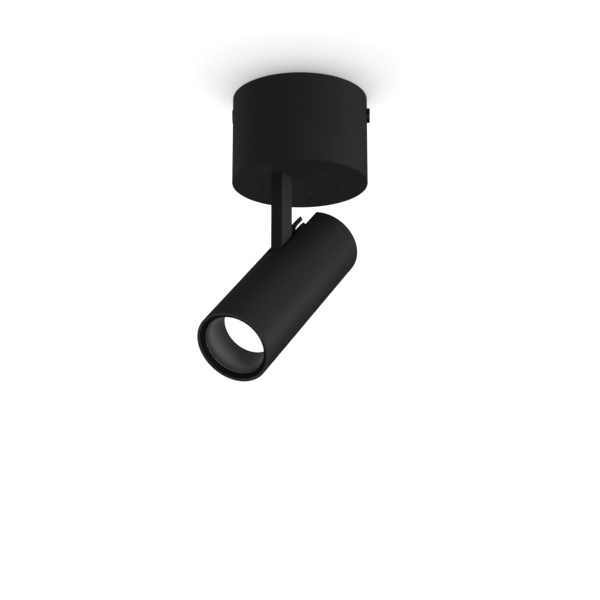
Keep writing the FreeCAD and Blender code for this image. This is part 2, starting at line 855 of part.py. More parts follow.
def make_heat_sink():
    """A thick front plate, a finned middle and a rear spigot that carries the block."""
    plate = cylinder(sink_radius, sink_front, sink_plate_back)
    core = cylinder(sink_core_radius, sink_plate_back, sink_back)
    fin_half = fin_thickness / 2
    fin = block((0, sink_radius), (-fin_half, fin_half), (sink_plate_back, sink_back))
    fin = fin.common(cylinder(sink_radius, sink_plate_back, sink_back))
    fins = around(fin, fin_angles())
    web = cylinder(spigot_radius, sink_back, sink_back + sink_web)
    spigot = ring(spigot_radius - spigot_wall, spigot_radius, sink_back, spigot_end)
    shape = plate.fuse([core, web, spigot] + fins).removeSplitter()
    grub_start = head_radius - head_grub_recess - head_grub_length
    grub_hole = outward(head_grub_radius + running_gap, grub_start, head_radius, grub_height())
    block_hole = outward(block_screw_radius + running_gap, spigot_radius - beyond,
                         spigot_radius + beyond, sink_back + block_screw_inset)
    cuts = [turned(grub_hole, 180)] + around(block_hole, block_screw_angles())
    thread_back = sink_front + holder_screw_grip
    thread = cylinder(holder_screw_radius + running_gap, sink_front, thread_back, holder_screw_circle)
    return shape.cut(cuts + around(thread, holder_screw_angles()))


def holder_screw_angles():
    """Two screws across the holder."""
    return [holder_screw_angle, holder_screw_angle + 180]


def make_led_board():
    """The metal-backed board that lies on the heat sink."""
    return cylinder(led_board_radius, sink_front - led_board_thickness, sink_front)


def make_led_emitter():
    """The round light-giving area on the board."""
    top = sink_front - led_board_thickness
    return cylinder(emitter_radius, top - emitter_thickness, top)


def make_led_holder():
    """The ring that presses the board down, with a window for the light."""
    window_back = sink_front - led_board_thickness
    pocket = led_board_radius + slide_fit
    shape = lathe((holder_window_radius, cup_back), (stack_radius, cup_back), (stack_radius, sink_front),
                  (pocket, sink_front), (pocket, window_back), (holder_window_radius, window_back))
    hole = cylinder(holder_screw_radius + running_gap, cup_back, sink_front, holder_screw_circle)
    well_back = cup_back + holder_screw_head_height
    well = cylinder(holder_screw_head_radius + running_gap, cup_back, well_back, holder_screw_circle)
    return shape.cut(around(hole, holder_screw_angles()) + around(well, holder_screw_angles()))


def make_holder_screws():
    """The holder's screws, their heads sunk in the ring."""
    neck = cup_back + holder_screw_head_height
    head = cylinder(holder_screw_head_radius, cup_back, neck, holder_screw_circle)
    shank = cylinder(holder_screw_radius, neck, sink_front + holder_screw_grip, holder_screw_circle)
    return group(around(head.fuse(shank).removeSplitter(), holder_screw_angles()))


def make_mixing_cup():
    """A white funnel that spreads the light onto the lens."""
    return lathe((lens_radius_seen, lens_back), (stack_radius, lens_back), (stack_radius, cup_back),
                 (holder_window_radius, cup_back))


def make_lens():
    """The opal lens at the bottom of the reflector."""
    return cylinder(lens_radius, lens_front, lens_back)


def make_lens_gasket():
    """The soft ring around the lens."""
    return ring(lens_radius + running_gap, stack_radius, lens_front, lens_back)


def reflector_outer():
    """The radius of the reflector's outside just behind its front flange."""
    return reflector_mouth_radius + reflector_wall / 2


def make_reflector():
    """A deep dark cup: a front flange, a slightly belled wall and a rear flange against the lens."""
    front = lip_depth
    lip = reflector_lip_radius
    throat = reflector_mouth_radius - lip
    lip_arc = quarter((reflector_mouth_radius, front + lip), lip, (0, -1, -1, 0))
    middle_z = (front + lip + lens_front) / 2
    bell = ((throat + lens_radius_seen) / 2 + reflector_bulge, middle_z)
    back_bell = (bell[0] + reflector_wall, middle_z)
    flange_back = front + reflector_flange
    rear_front = lens_front - rear_flange_thickness
    rear_wall = lens_radius_seen + reflector_wall
    return lathe((sink_radius, front), (reflector_mouth_radius, front), lip_arc,
                 (bell, (lens_radius_seen, lens_front)), (stack_radius, lens_front),
                 (stack_radius, rear_front), (rear_wall, rear_front),
                 (back_bell, (reflector_outer(), flange_back)), (sink_radius, flange_back))


def make_reflector_seal():
    """The rubber ring behind the flange that grips the tube."""
    low = lip_depth + reflector_flange
    return ring(reflector_outer(), head_bore, low, low + seal_length)


def all_pieces():
    """Every piece by its name, in its place."""
    near_screw, far_screw = make_side_screws()
    pieces = {
        "canopy_shell": make_canopy(),
        "ceiling_plate": make_ceiling_plate(),
        "cable_grommet": make_cable_grommet(),
        "side_screw_near": near_screw,
        "side_screw_far": far_screw,
        "side_nuts": make_side_nuts(),
        "terminal_block": make_terminal_block(),
        "terminal_screws": make_terminal_screws(),
        "earth_screw": make_earth_screw(),
        "earth_washer": make_earth_washer(),
        "bearing_ring": make_bearing_ring(),
        "disc_spring": make_disc_spring(),
        "retaining_ring": make_retaining_ring(),
        "pan_lock_screw": make_lock_screw(),
        "standoffs": make_standoffs(),
        "chassis_plate": make_chassis_plate(),
        "chassis_screws": make_chassis_screws(),
        "driver_case": make_driver_case(),
        "driver_cover": make_driver_cover(),
        "driver_board": make_driver_board(),
        "driver_screws": make_driver_screws(),
        "swivel_disc": make_swivel_disc(),
        "arm": make_arm(),
        "arm_screws": make_arm_screws(),
        "pivot_bush": make_pivot_bush(),
    }
    head = {
        "head_shell": make_head_shell(),
        "head_grub_screw": make_head_grub(),
        "pivot_block": make_pivot_block(),
        "block_screws": make_block_screws(),
        "pivot_pin": make_pivot_pin(),
        "friction_washers": make_friction_washers(),
        "heat_sink": make_heat_sink(),
        "led_board": make_led_board(),
        "led_emitter": make_led_emitter(),
        "led_holder": make_led_holder(),
        "holder_screws": make_holder_screws(),
        "mixing_cup": make_mixing_cup(),
        "lens": make_lens(),
        "lens_gasket": make_lens_gasket(),
        "reflector": make_reflector(),
        "reflector_seal": make_reflector_seal(),
    }
    for name, shape in head.items():
        pieces[name] = in_head(shape)
    return pieces


os.makedirs("parts", exist_ok=True)
for piece_name, piece_shape in all_pieces().items():
    piece_shape.exportStep(os.path.join("parts", piece_name + ".step"))
    print(piece_name, piece_shape.isValid(), len(piece_shape.Solids), round(piece_shape.Volume, 1))
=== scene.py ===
"""Finishes, fine pieces, stage, light and camera for a surface mounted ceiling spotlight.

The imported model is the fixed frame: a round canopy on the ceiling, a turning disc with its arm, and
a tilting tubular head. Everything here is in metres, in the frame's own axes: +Z is up, and the head
points towards +X and down.
"""
import json
import math

import bpy
import numpy as np
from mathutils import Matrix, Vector
from bpy.props import FloatProperty, FloatVectorProperty, IntProperty, PointerProperty
from bpy.types import Operator, Panel, PropertyGroup


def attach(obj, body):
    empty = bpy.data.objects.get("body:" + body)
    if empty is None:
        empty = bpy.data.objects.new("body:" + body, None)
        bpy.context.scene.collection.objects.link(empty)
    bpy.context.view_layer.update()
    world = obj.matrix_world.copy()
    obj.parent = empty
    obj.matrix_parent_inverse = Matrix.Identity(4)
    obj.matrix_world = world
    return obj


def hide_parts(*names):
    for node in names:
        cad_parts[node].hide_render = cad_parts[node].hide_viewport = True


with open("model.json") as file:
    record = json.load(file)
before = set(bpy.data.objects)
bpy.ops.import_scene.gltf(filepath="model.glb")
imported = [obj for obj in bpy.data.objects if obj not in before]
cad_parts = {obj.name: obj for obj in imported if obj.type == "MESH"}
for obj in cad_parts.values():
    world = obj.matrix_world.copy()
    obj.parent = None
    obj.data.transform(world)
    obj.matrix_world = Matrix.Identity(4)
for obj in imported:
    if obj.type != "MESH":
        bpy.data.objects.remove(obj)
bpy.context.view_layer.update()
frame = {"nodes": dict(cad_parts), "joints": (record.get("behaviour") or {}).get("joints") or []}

bl_info = {
    "name": "Ceiling Spotlight",
    "version": (1, 0, 0),
    "blender": (4, 5, 0),
    "location": "View3D > Sidebar > Spotlight",
    "description": "Dresses a surface mounted ceiling spotlight and lights it in a plain studio",
    "category": "Object",
}

MM = 0.001
FULL_TURN = 2 * math.pi

# How finely the surfaces are worked out.
SCREW_STEPS, THREAD_STEPS, EDGE_STEPS = 48, 8, 7
WALL_STEPS, NOSE_STEPS = 60, 9
LENS_RINGS, LENS_RIM_STEPS = 24, 9
CORNER_STEPS = 6
# The most of a side that a rounded corner takes, and the shares of a radius that a fan closes.
CORNER_REACH = 0.49
LENS_MIDDLE, SOCKET_MIDDLE = 0.02, 0.05
# The angle past which an edge is shaded sharp.
CREASE = math.radians(35.0)


# Where the pieces are.

PIVOT = np.array(next(joint["pos_m"] for joint in frame["joints"] if joint["name"] == "tilt"))
TILT_REST = math.radians(45.7)
PIVOT_ALONG, PIVOT_ACROSS = 92.9 * MM, 18.0 * MM


def in_head(points):
    """Puts points drawn in the head's own axes, x to its slot and z from its front, at the rest tilt.

    The pivot goes to the origin, the points turn about Y by the tilt, and the pivot to its place.
    """
    x = points[..., 0] - PIVOT_ACROSS
    z = points[..., 2] - PIVOT_ALONG
    c, s = math.cos(TILT_REST), math.sin(TILT_REST)
    place = np.stack([x * c - z * s, points[..., 1], x * s + z * c], axis=-1)
    return place + PIVOT


def about_z(points, turn):
    """Turns points about the vertical through the canopy's centre."""
    c, s = math.cos(turn), math.sin(turn)
    x, y = points[..., 0], points[..., 1]
    return np.stack([x * c - y * s, x * s + y * c, points[..., 2]], axis=-1)


def head_axis():
    """The unit vector along the head from its front, and the frame's place of the front's middle."""
    front, inside = in_head(np.array([[0.0, 0.0, 0.0], [0.0, 0.0, 1.0]]))
    return inside - front, front


def axis_to_x(points):
    """Lays points turned about Z along the X axis, so that their height becomes x."""
    return np.stack([points[..., 2], points[..., 1], -points[..., 0]], axis=-1)


# Surfaces worked out as whole arrays.

def enclosed(verts, faces):
    """Six times the volume under faces wound alike: each face's triangles with the origin, summed."""
    first = verts[faces[:, 0]]
    pairs = zip(faces.T[1:-1], faces.T[2:])
    return sum(np.einsum("ij,ij->", first, np.cross(verts[b], verts[c])) for b, c in pairs)


def ring_faces(rows, columns, close_rows):
    """Quads between neighbouring rows of a grid whose columns close on themselves."""
    last = rows if close_rows else rows - 1
    r = np.arange(last)[:, None]
    c = np.arange(columns)[None, :]
    below, above = r * columns, ((r + 1) % rows) * columns
    beside = (c + 1) % columns
    return np.stack([below + c, below + beside, above + beside, above + c], axis=-1).reshape(-1, 4)


def mesh_piece(name, verts, faces, material, smooth=True):
    """A mesh object at the origin from whole arrays, shaded smooth or flat."""
    mesh = bpy.data.meshes.new(name)
    mesh.from_pydata(verts.tolist(), [], [f.tolist() for f in faces])
    mesh.update()
    mesh.polygons.foreach_set("use_smooth", np.full(len(mesh.polygons), smooth))
    mesh.materials.append(material)
    piece = bpy.data.objects.new(name, mesh)
    bpy.context.scene.collection.objects.link(piece)
    return piece


def rounded_profile(corners, radii):
    """A closed section with each corner rounded by its radius.

    Each corner becomes a quadratic curve between points its radius away on both sides, with the
    corner as its control point.
    """
    p = np.array(corners, float)
    r = np.array(radii, float)[:, None]
    before, after = np.roll(p, 1, axis=0) - p, np.roll(p, -1, axis=0) - p
    reach_b = np.linalg.norm(before, axis=1, keepdims=True)
    reach_a = np.linalg.norm(after, axis=1, keepdims=True)
    start = p + before / reach_b * np.minimum(r, reach_b * CORNER_REACH)
    end = p + after / reach_a * np.minimum(r, reach_a * CORNER_REACH)
    t = np.linspace(0, 1, CORNER_STEPS)[None, :, None]
    curve = (1 - t) ** 2 * start[:, None] + 2 * t * (1 - t) * p[:, None] + t ** 2 * end[:, None]
    return curve.reshape(-1, 2)


def turned_ring(profile, columns):
    """Points of a section of radius and height carried round the vertical axis."""
    turn = np.arange(columns) * FULL_TURN / columns
    radius, height = profile[:, 0, None], profile[:, 1, None]
    return np.stack([radius * np.cos(turn), radius * np.sin(turn), height + 0 * turn], axis=-1)


def solid_piece(name, verts, groups, material):
    """A closed mesh from groups of faces wound alike, all turned outwards, with its creases sharp.

    They are wound the wrong way round where they enclose less than nothing.
    """
    inside_out = sum(enclosed(verts, faces) for faces in groups) < 0
    faces = [face[::-1] if inside_out else face for group in groups for face in group]
    piece = mesh_piece(name, verts, faces, material)
    piece.data.set_sharp_from_angle(angle=CREASE)
    return piece


def ring_piece(name, points, material):
    """A closed ring from a grid of section points by angle."""
    rows, columns = points.shape[:2]
    return solid_piece(name, points.reshape(-1, 3), [ring_faces(rows, columns, True)], material)


def capped_piece(name, points, material):
    """A closed solid from rows of rings, each end closed by a fan to the middle of its ring."""
    rows, columns = points.shape[:2]
    middle = np.stack([points[0].mean(axis=0), points[-1].mean(axis=0)])
    verts = np.concatenate([points.reshape(-1, 3), middle])
    here = np.arange(columns)
    beside = (here + 1) % columns
    first = np.stack([beside, here, np.full(columns, rows * columns)], axis=-1)
    top = (rows - 1) * columns
    last = np.stack([top + here, top + beside, np.full(columns, rows * columns + 1)], axis=-1)
    return solid_piece(name, verts, [ring_faces(rows, columns, False), first, last], material)


def socket_screw(head, head_height, edge, shank, shank_length, socket, socket_depth, pitch):
    """Rings of a socket screw along +Z with its seat at height 0, from the socket's floor to the tip.

    The socket's wall lies at half its flats over the cosine of the angle from the nearest flat. The
    head's edge is a quarter circle. The thread's radius falls by a fifth of the pitch with the
    squared cosine of half an angle that turns once in each pitch and once round the screw.
    """
    turn = np.arange(SCREW_STEPS) * FULL_TURN / SCREW_STEPS
    sixth = FULL_TURN / 6
    wall = socket / 2 / np.cos((turn + sixth / 2) % sixth - sixth / 2)
    floor = head_height - socket_depth
    bend = np.linspace(0, FULL_TURN / 4, EDGE_STEPS)
    thread = np.arange(1, int(shank_length / pitch * THREAD_STEPS)) * pitch / THREAD_STEPS
    groove = np.cos((FULL_TURN * thread[:, None] / pitch + turn) / 2) ** 2
    thread_depth = pitch / 5
    root = shank - thread_depth
    rows = [(wall * SOCKET_MIDDLE, floor), (wall, floor), (wall, head_height - edge / 2),
            (wall + edge / 2, head_height)]
    rows += [(head - edge + edge * math.sin(b), head_height - edge + edge * math.cos(b)) for b in bend]
    rows += [(head, 0.0), (root, 0.0)]
    rows += list(zip(root + (1 - groove) * thread_depth, -thread))
    rows.append((root - thread_depth, -shank_length))
    return np.stack([np.stack([r * np.cos(turn), r * np.sin(turn), h + 0 * turn], axis=-1)
                     for r, h in rows])


def bell_cup(s):
    """The reflector's closed section of radius and depth: a round nose, belled wall and rear flange.

    The wall runs straight from its nose to the lens, moved outwards by a parabola that is highest
    halfway. The nose is a half circle.
    """
    t = np.linspace(0, 1, WALL_STEPS)
    back = s.lens_depth - s.lens_gap
    nose_depth = s.cup_front + s.cup_nose
    radius = s.cup_radius + (s.lens_radius - s.cup_radius) * t + s.cup_bulge * 4 * t * (1 - t)
    inner = np.column_stack([radius, nose_depth + (back - nose_depth) * t])
    bend = np.linspace(0, FULL_TURN / 2, NOSE_STEPS)[:-1]
    nose = np.column_stack([s.cup_radius + s.cup_nose + s.cup_nose * np.cos(bend),
                            nose_depth - s.cup_nose * np.sin(bend)])
    outer = inner[::-1] + np.array([s.cup_wall, 0.0])
    outer = outer[(outer[:, 1] > s.flange_back) & (outer[:, 1] < back - s.cup_wall)]
    rear = np.array([[s.flange_radius - s.stack_gap, back],
                     [s.flange_radius - s.stack_gap, back - s.cup_wall]])
    seat = np.array([[s.cup_radius + 2 * s.cup_nose, s.flange_back]])
    return np.concatenate([nose, inner, rear, outer, seat])


def front_ring(s):
    """The section of the dark ring that lines the tube's lip and slopes in to the reflector's nose."""
    inner = s.cup_radius + 2 * s.cup_nose
    return rounded_profile(
        [(s.lip_radius, s.lip_front), (inner, s.cup_front), (inner, s.flange_back),
         (s.flange_radius, s.flange_back), (s.flange_radius, s.flange_front)],
        [s.ring_edge] * 4 + [0.0])


def lens_section(s):
    """The lens's section of radius and depth, from the middle of its front to the middle of its back.

    The front bows towards the rear by the crown times one less the squared share of the radius. The
    rim is half an ellipse, as high as the lens is thick and as wide as its soft edge. The back is
    flat.
    """
    inner = np.linspace(LENS_MIDDLE, 1, LENS_RINGS) * s.lens_radius
    bow = s.lens_crown * (1 - (inner / s.lens_radius) ** 2)
    front = np.column_stack([inner, s.lens_depth + bow])
    turn = np.linspace(-0.5, 0.5, LENS_RIM_STEPS) * math.pi
    half = s.lens_thickness / 2
    rim = s.lens_radius + s.lens_seat
    edge = np.column_stack([rim - s.lens_edge + s.lens_edge * np.cos(turn),
                            s.lens_depth + half + half * np.sin(turn)])
    back = np.column_stack([inner[::-1], np.full(len(inner), s.lens_depth + s.lens_thickness)])
    return np.concatenate([front, edge, back])


# Finishes.

# Tones and glosses are the two shares of a colour or of a roughness that a noise moves between, as
# its value goes through the band.
NOISE_BAND = (0.3, 0.7)

# Powder paint: the fine peel is so many times smaller and flatter than the peel, and the cloud so
# many grains wide.
PAINT_TONES, PAINT_GLOSSES = (0.93, 1.08), (0.94, 1.06)
PAINT_FINE, PAINT_FLATTER, PAINT_CLOUD = 4, 3, 30
PAINT_SPECULAR, ARM_SPECULAR = 0.35, 0.25
# The canopy's rounded rim lies outside and below these. There its paint is made matt and darkened by the
# shade tone, as painted shade that hides the rim's highlight, over a short blend.
RIM_INSIDE, RIM_TOP, RIM_BLEND, RIM_SHADE_TONE = 49.5 * MM, -66.5 * MM, 0.1 * MM, 0.75

METAL_TONES, METAL_GLOSSES = (0.86, 1.0), (0.75, 1.25)
METAL_CLOUD, METAL_RELIEF = 25, 0.002 * MM

MOULD_TONES, MOULD_GLOSSES = (0.92, 1.05), (0.9, 1.1)
MOULD_GRAIN, MOULD_CLOUD, MOULD_RELIEF, MOULD_SPECULAR = 0.35 * MM, 40, 0.006 * MM, 0.5
RING_GRAIN, RING_RELIEF, RING_ROUGHNESS, RING_SPECULAR = 0.4 * MM, 0.004 * MM, 0.7, 0.1

# The reflector's painted light by depth: the tones at its front, at two shares of its depth and at the lens,
# giving a painted highlight on the front edge, painted shade just behind it and a brighter band deeper in.
CUP_EDGE, CUP_BRIGHT, CUP_PAINTED_LIGHT_LEVELS = 0.012, 0.42, (2.4, 0.1, 1.3, 1.3)
CUP_GRAIN, CUP_RELIEF, CUP_GLOSSES, CUP_SPECULAR = 0.9 * MM, 0.002 * MM, (0.95, 1.05), 0.1

OPAL_GRAIN, OPAL_TONES, OPAL_GLOWS, OPAL_ROUGHNESS = 6 * MM, (0.58, 0.6), (0.985, 1.0), 0.35

# The board's copper lines: their grid and width, and the tones of the brick pattern's colours.
BOARD_GRID, BOARD_LINE = 9 * MM, 0.04
BOARD_TONES = {"Color1": 1.0, "Color2": 1.15, "Mortar": 1.8}
BOARD_COLOUR, BOARD_ROUGHNESS, BOARD_RELIEF = (0.02, 0.11, 0.05), 0.35, 0.02 * MM
CHIP_SIZE, CHIP_TONES, CHIP_ROUGHNESS = 1.4 * MM, (1.0, 0.8), 0.4
PHOSPHOR_COLOUR = (0.88, 0.66, 0.10)

# Bare metals: their slot, name, colour, roughness, and the grain and stretch of their streaks.
METALS = (
    ("black_steel", "black_oxide", (0.020, 0.020, 0.021), 0.42, 0.5 * MM, (1, 1, 1)),
    ("zinc_steel", "zinc_plate", (0.62, 0.64, 0.66), 0.34, 0.7 * MM, (1, 8, 8)),
    ("spring_steel", "blued_spring", (0.36, 0.37, 0.40), 0.28, 0.5 * MM, (1, 1, 6)),
    ("brass_parts", "drawn_brass", (0.78, 0.57, 0.25), 0.30, 0.5 * MM, (6, 6, 1)),
    ("bare_aluminium", "raw_aluminium", (0.78, 0.79, 0.80), 0.36, 0.6 * MM, (8, 8, 1)),
)
# Plastics and rubbers: their slot, name, colour, roughness and specular level.
PLASTICS = (
    ("black_nylon", "black_nylon_grain", (0.0035, 0.0035, 0.0037), 0.5, 0.2),
    ("white_nylon", "white_nylon_grain", (0.78, 0.78, 0.75), 0.42, MOULD_SPECULAR),
    ("driver_plastic", "driver_grain", (0.80, 0.80, 0.79), 0.48, MOULD_SPECULAR),
    ("silicone", "silicone_skin", (0.70, 0.70, 0.68), 0.55, MOULD_SPECULAR),
    ("black_rubber", "rubber_skin", (0.014, 0.014, 0.014), 0.65, MOULD_SPECULAR),
)


def nodes_of(name):
    """A new material with its node tree, its surface shader and object coordinates."""
    material = bpy.data.materials.new(name)
    material.use_nodes = True
    tree = material.node_tree
    shader = tree.nodes["Principled BSDF"]
    coords = tree.nodes.new("ShaderNodeTexCoord")
    return material, tree, shader, coords.outputs["Object"]


def noise(tree, coords, grain, detail=3.0, stretch=(1.0, 1.0, 1.0)):
    """Even noise with lumps of about one grain, stretched along an axis where asked."""
    mapping = tree.nodes.new("ShaderNodeMapping")
    mapping.inputs["Scale"].default_value = stretch
    tree.links.new(coords, mapping.inputs["Vector"])
    node = tree.nodes.new("ShaderNodeTexNoise")
    node.inputs["Scale"].default_value = 1 / grain
    node.inputs["Detail"].default_value = detail
    tree.links.new(mapping.outputs["Vector"], node.inputs["Vector"])
    return node.outputs["Fac"]


def maths(tree, operation, *values):
    """The output of a Math node fed by numbers or by other outputs."""
    node = tree.nodes.new("ShaderNodeMath")
    node.operation = operation
    for place, value in enumerate(values):
        if isinstance(value, (int, float)):
            node.inputs[place].default_value = value
        else:
            tree.links.new(value, node.inputs[place])
    return node.outputs["Value"]


def ramp_between(tree, value, start, end, low=0.0, high=1.0):
    """A straight ramp of a value from low at the start to high at the end, and level past both."""
    node = tree.nodes.new("ShaderNodeMapRange")
    for socket, number in (("From Min", start), ("From Max", end), ("To Min", low), ("To Max", high)):
        node.inputs[socket].default_value = number
    tree.links.new(value, node.inputs["Value"])
    return node.outputs["Result"]


def uneven(tree, value, roughness, shares):
    """A roughness that a noise's middle band moves between two shares of itself."""
    return ramp_between(tree, value, *NOISE_BAND, *(roughness * share for share in shares))


def tint(tree, value, colour, shares):
    """A colour that a noise's middle band moves between two shares of itself."""
    node = tree.nodes.new("ShaderNodeValToRGB")
    for stop, place, share in zip(node.color_ramp.elements, NOISE_BAND, shares):
        stop.position = place
        stop.color = (*scaled(colour, share), 1)
    tree.links.new(value, node.inputs["Fac"])
    return node.outputs["Color"]


def relief(tree, value, depth, under=None):
    """A bump of a real depth from a noise, on top of another where given."""
    node = tree.nodes.new("ShaderNodeBump")
    node.inputs["Distance"].default_value = depth
    node.inputs["Strength"].default_value = 1.0
    tree.links.new(value, node.inputs["Height"])
    if under is not None:
        tree.links.new(under, node.inputs["Normal"])
    return node.outputs["Normal"]


def scaled(colour, share):
    """A colour made lighter or darker."""
    return tuple(min(1.0, c * share) for c in colour)


def canopy_rim(tree, coords):
    """One on the canopy's rounded lower rim and nothing elsewhere.

    It is the product of two short ramps: one by the distance from the middle, one by the height.
    """
    flat = tree.nodes.new("ShaderNodeVectorMath")
    flat.operation = "MULTIPLY"
    flat.inputs[1].default_value = (1, 1, 0)
    tree.links.new(coords, flat.inputs[0])
    out = tree.nodes.new("ShaderNodeVectorMath")
    out.operation = "LENGTH"
    tree.links.new(flat.outputs["Vector"], out.inputs[0])
    split = tree.nodes.new("ShaderNodeSeparateXYZ")
    tree.links.new(coords, split.inputs["Vector"])
    wide = ramp_between(tree, out.outputs["Value"], RIM_INSIDE, RIM_INSIDE + RIM_BLEND)
    low = ramp_between(tree, split.outputs["Z"], RIM_TOP, RIM_TOP - RIM_BLEND)
    return maths(tree, "MULTIPLY", wide, low)


def powder_coat(name, colour, roughness, grain, depth, specular=PAINT_SPECULAR, rim=False):
    """Baked powder paint: a fine orange peel, faint cloudiness and slightly uneven gloss.

    Where it has a rim, it is matt there and darker there as painted shade that hides the rim's highlight.
    """
    material, tree, shader, coords = nodes_of(name)
    peel = noise(tree, coords, grain, detail=2.0)
    fine = noise(tree, coords, grain / PAINT_FINE, detail=1.0)
    cloud = noise(tree, coords, grain * PAINT_CLOUD, detail=4.0)
    tone = tint(tree, cloud, colour, PAINT_TONES)
    gloss = uneven(tree, cloud, roughness, PAINT_GLOSSES)
    if rim:
        # The rim's colour is darkened here as painted shade, and its roughness is raised.
        on_rim = canopy_rim(tree, coords)
        rim_shaded_tone = tree.nodes.new("ShaderNodeVectorMath")
        rim_shaded_tone.operation = "SCALE"
        tree.links.new(tone, rim_shaded_tone.inputs[0])
        tree.links.new(maths(tree, "MULTIPLY_ADD", on_rim, RIM_SHADE_TONE - 1, 1.0), rim_shaded_tone.inputs["Scale"])
        tone, gloss = rim_shaded_tone.outputs["Vector"], maths(tree, "MAXIMUM", gloss, on_rim)
    tree.links.new(tone, shader.inputs["Base Color"])
    tree.links.new(gloss, shader.inputs["Roughness"])
    shader.inputs["Specular IOR Level"].default_value = specular
    under = relief(tree, peel, depth)
    tree.links.new(relief(tree, fine, depth / PAINT_FLATTER, under), shader.inputs["Normal"])
    return material


def bare_metal(name, colour, roughness, grain, stretch):
    """Worked metal: streaks along one axis in the gloss, the tone and a very shallow relief."""
    material, tree, shader, coords = nodes_of(name)
    streaks = noise(tree, coords, grain, detail=4.0, stretch=stretch)
    cloud = noise(tree, coords, grain * METAL_CLOUD)
    shader.inputs["Metallic"].default_value = 1.0
    tree.links.new(tint(tree, cloud, colour, METAL_TONES), shader.inputs["Base Color"])
    tree.links.new(uneven(tree, streaks, roughness, METAL_GLOSSES), shader.inputs["Roughness"])
    tree.links.new(relief(tree, streaks, METAL_RELIEF), shader.inputs["Normal"])
    return material


def moulded(name, colour, roughness, specular, grain=MOULD_GRAIN, depth=MOULD_RELIEF):
    """Moulded plastic or rubber: a fine spark-eroded grain and a little cloudiness."""
    material, tree, shader, coords = nodes_of(name)
    skin = noise(tree, coords, grain)
    cloud = noise(tree, coords, grain * MOULD_CLOUD, detail=2.0)
    tree.links.new(tint(tree, cloud, colour, MOULD_TONES), shader.inputs["Base Color"])
    tree.links.new(uneven(tree, skin, roughness, MOULD_GLOSSES), shader.inputs["Roughness"])
    shader.inputs["Specular IOR Level"].default_value = specular
    tree.links.new(relief(tree, skin, depth), shader.inputs["Normal"])
    return material


def cup_gloss_painted_light(name, colour, roughness, s):
    """The reflector's smoky gloss, whose tone changes with the depth along the head as painted light: a
    painted highlight on its front edge, painted shade behind it and a brighter band deeper in.
    """
    material, tree, shader, coords = nodes_of(name)
    axis, front = head_axis()
    along = tree.nodes.new("ShaderNodeVectorMath")
    along.operation = "DOT_PRODUCT"
    along.inputs[1].default_value = axis
    tree.links.new(coords, along.inputs[0])
    start = float(front @ axis)
    depth = ramp_between(tree, along.outputs["Value"], start + s.cup_front, start + s.lens_depth)
    # Painted highlight, painted shade and a painted brighter band, by depth.
    ramp = tree.nodes.new("ShaderNodeValToRGB")
    ramp.color_ramp.interpolation = "EASE"
    stops = ramp.color_ramp.elements
    for place in (CUP_EDGE, CUP_BRIGHT):
        stops.new(place)
    for stop, level in zip(stops, CUP_PAINTED_LIGHT_LEVELS):
        stop.color = (*scaled(colour, level), 1)
    tree.links.new(depth, ramp.inputs["Fac"])
    tree.links.new(ramp.outputs["Color"], shader.inputs["Base Color"])
    skin = noise(tree, coords, CUP_GRAIN)
    tree.links.new(uneven(tree, skin, roughness, CUP_GLOSSES), shader.inputs["Roughness"])
    shader.inputs["Specular IOR Level"].default_value = CUP_SPECULAR
    tree.links.new(relief(tree, skin, CUP_RELIEF), shader.inputs["Normal"])
    return material


def opal(name, colour, glow):
    """Opal plastic lit from behind: a faint cloud in an even white glow."""
    material, tree, shader, coords = nodes_of(name)
    cloud = noise(tree, coords, OPAL_GRAIN, detail=2.0)
    tree.links.new(tint(tree, cloud, colour, OPAL_TONES), shader.inputs["Base Color"])
    tree.links.new(tint(tree, cloud, colour, OPAL_GLOWS), shader.inputs["Emission Color"])
    shader.inputs["Emission Strength"].default_value = glow
    shader.inputs["Roughness"].default_value = OPAL_ROUGHNESS
    return material


def circuit(name, colour):
    """Solder mask with the faint lines of the copper under it."""
    material, tree, shader, coords = nodes_of(name)
    brick = tree.nodes.new("ShaderNodeTexBrick")
    brick.inputs["Scale"].default_value = 1 / BOARD_GRID
    brick.inputs["Mortar Size"].default_value = BOARD_LINE
    for socket, share in BOARD_TONES.items():
        brick.inputs[socket].default_value = (*scaled(colour, share), 1)
    tree.links.new(coords, brick.inputs["Vector"])
    tree.links.new(brick.outputs["Color"], shader.inputs["Base Color"])
    shader.inputs["Roughness"].default_value = BOARD_ROUGHNESS
    tree.links.new(relief(tree, brick.outputs["Fac"], BOARD_RELIEF), shader.inputs["Normal"])
    return material


def phosphor(name, colour):
    """The yellow phosphor over the light source's chips."""
    material, tree, shader, coords = nodes_of(name)
    cells = tree.nodes.new("ShaderNodeTexVoronoi")
    cells.inputs["Scale"].default_value = 1 / CHIP_SIZE
    tree.links.new(coords, cells.inputs["Vector"])
    tree.links.new(tint(tree, cells.outputs["Distance"], colour, CHIP_TONES), shader.inputs["Base Color"])
    shader.inputs["Roughness"].default_value = CHIP_ROUGHNESS
    return material


def dress(slot, material):
    """Gives a finish to every frame node that has that slot of the record."""
    dressed = 0
    for node in frame["nodes"].values():
        for place in node.material_slots:
            if place.material and place.material.name.split(".")[0] == slot:
                place.material = material
                dressed += 1
    if not dressed:
        raise RuntimeError("no node of the frame has the slot " + slot)


# Settings that a user would change.

def length(name, description, millimetres):
    """A length setting, written in millimetres and kept in metres."""
    return FloatProperty(name=name, description=description, subtype="DISTANCE", unit="LENGTH",
                         default=millimetres * MM)


def angle(name, description, degrees):
    """An angle setting, written in degrees and kept in radians."""
    return FloatProperty(name=name, description=description, subtype="ANGLE", unit="ROTATION",
                         default=math.radians(degrees))


def fraction(name, description, default):
    """A setting from nothing to all."""
    return FloatProperty(name=name, description=description, subtype="FACTOR", min=0, max=1,
                         default=default)


def paint(name, description, default):
    """A colour setting."""
    return FloatVectorProperty(name=name, description=description, subtype="COLOR", size=3, min=0,
                               max=1, default=default)


def power(name, description, default):
    """A softbox's power setting."""
    return FloatProperty(name=name, description=description, subtype="POWER", unit="POWER", min=0,
                         default=default)


def brightness(name, description, default):
    """A brightness setting, where 1 is the picture's white."""
    return FloatProperty(name=name, description=description, min=0, max=5, default=default)


